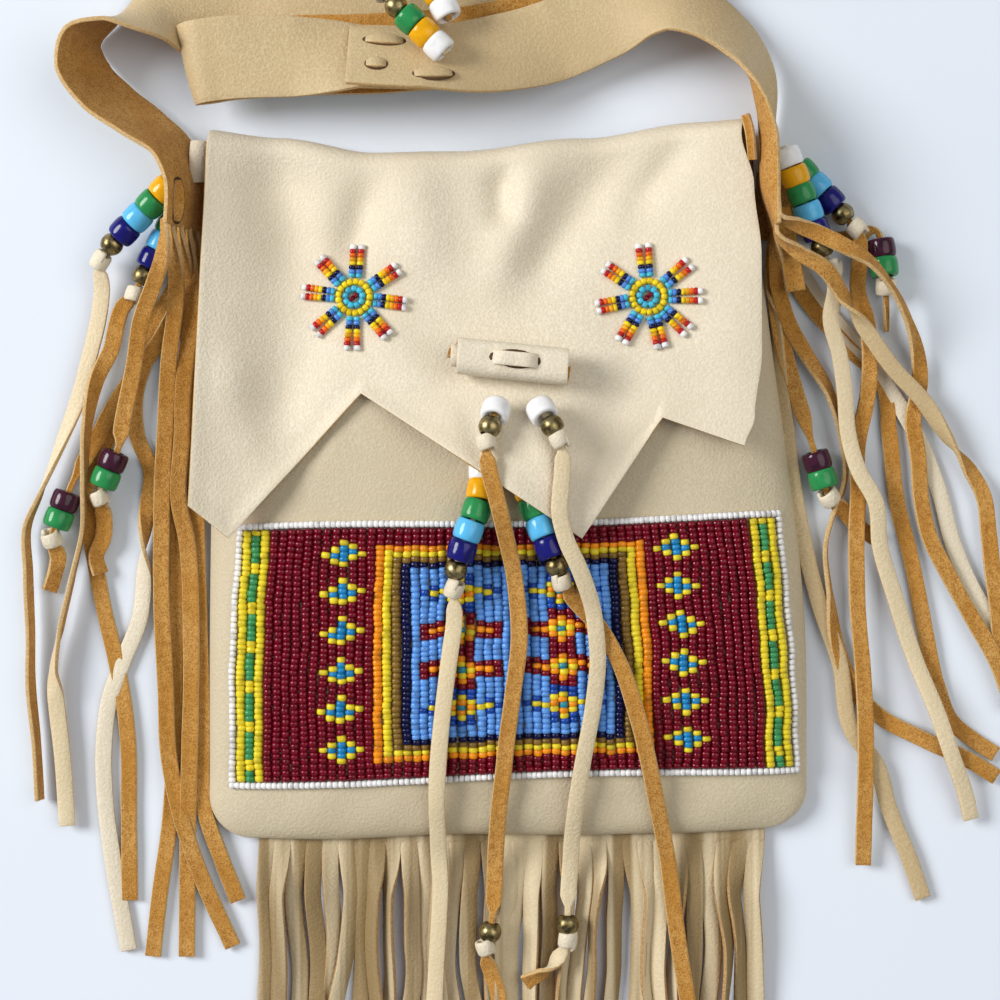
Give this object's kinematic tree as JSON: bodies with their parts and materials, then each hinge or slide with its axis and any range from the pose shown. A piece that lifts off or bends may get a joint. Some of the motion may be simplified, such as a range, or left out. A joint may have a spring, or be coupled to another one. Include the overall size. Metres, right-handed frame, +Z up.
{
  "type": "beaded fringe shoulder bag",
  "caption": "Soft leather shoulder bag with a pointed flap, seed-bead panel and rosettes, rolled toggle, beaded laces, laced strap and long fringes, lying on its back.",
  "frame": {"origin": "on the flat underside of the back panel, under the middle of the pouch", "axes": "+Y from the bottom fringe to the strap, +X to the right seen from the front, +Z up from the table through back and front"},
  "size_m": [0.272, 0.3676, 0.0306],
  "materials": {
    "hide": "smooth pale hide",
    "suede": "brown suede side",
    "seed_beads": "glossy seed beads",
    "rosette_beads": "glossy seed beads",
    "mixed_beads": "glossy",
    "white_bead": "glossy",
    "yellow_bead": "glossy",
    "green_bead": "glossy",
    "light_blue_bead": "glossy",
    "dark_blue_bead": "glossy",
    "purple_bead": "glossy",
    "bronze": "dull bronze"
  },
  "bodies": {
    "root": {"back_and_flap": "hide", "front_panel": "hide", "bottom_fringe": "hide", "beadwork_panel": "seed_beads", "rosette_left": "rosette_beads", "rosette_right": "rosette_beads", "toggle": "hide", "toggle_lace": "hide", "strap_left": "suede", "side_fringe_left": "suede", "tail_beads_left_1": "purple_bead", "tail_beads_left_2": "purple_bead", "side_lace_left_upper": "hide", "side_lace_left_upper_beads": "mixed_beads", "side_lace_left_lower": "suede", "side_lace_left_lower_beads": "mixed_beads", "strap_right": "hide", "side_fringe_right": "suede", "tail_beads_right_1": "purple_bead", "tail_beads_right_2": "purple_bead", "side_lace_right_upper": "hide", "side_lace_right_upper_beads": "mixed_beads", "side_lace_right_lower": "suede", "side_lace_right_lower_beads": "mixed_beads", "splice_stitch_1": "hide", "splice_stitch_2": "hide", "splice_stitch_3": "hide", "splice_lace_lower": "hide", "splice_lace_lower_beads": "mixed_beads", "splice_lace_upper": "hide", "splice_lace_upper_beads": "mixed_beads", "flap_lace_left": "suede", "flap_lace_left_white_1": "white_bead", "flap_lace_left_bronze_3": "bronze", "flap_lace_left_bronze_19": "bronze", "flap_lace_right": "hide", "flap_lace_right_white_1": "white_bead", "flap_lace_right_bronze_3": "bronze", "flap_lace_right_bronze_22": "bronze", "pouch_lace_left": "hide", "pouch_lace_left_white_1": "white_bead", "pouch_lace_left_yellow_2": "yellow_bead", "pouch_lace_left_green_3": "green_bead", "pouch_lace_left_light_blue_4": "light_blue_bead", "pouch_lace_left_dark_blue_5": "dark_blue_bead", "pouch_lace_left_bronze_6": "bronze", "pouch_lace_right": "suede", "pouch_lace_right_yellow_1": "yellow_bead", "pouch_lace_right_green_2": "green_bead", "pouch_lace_right_light_blue_3": "light_blue_bead", "pouch_lace_right_dark_blue_4": "dark_blue_bead", "pouch_lace_right_bronze_5": "bronze"}
  },
  "joints": []
}
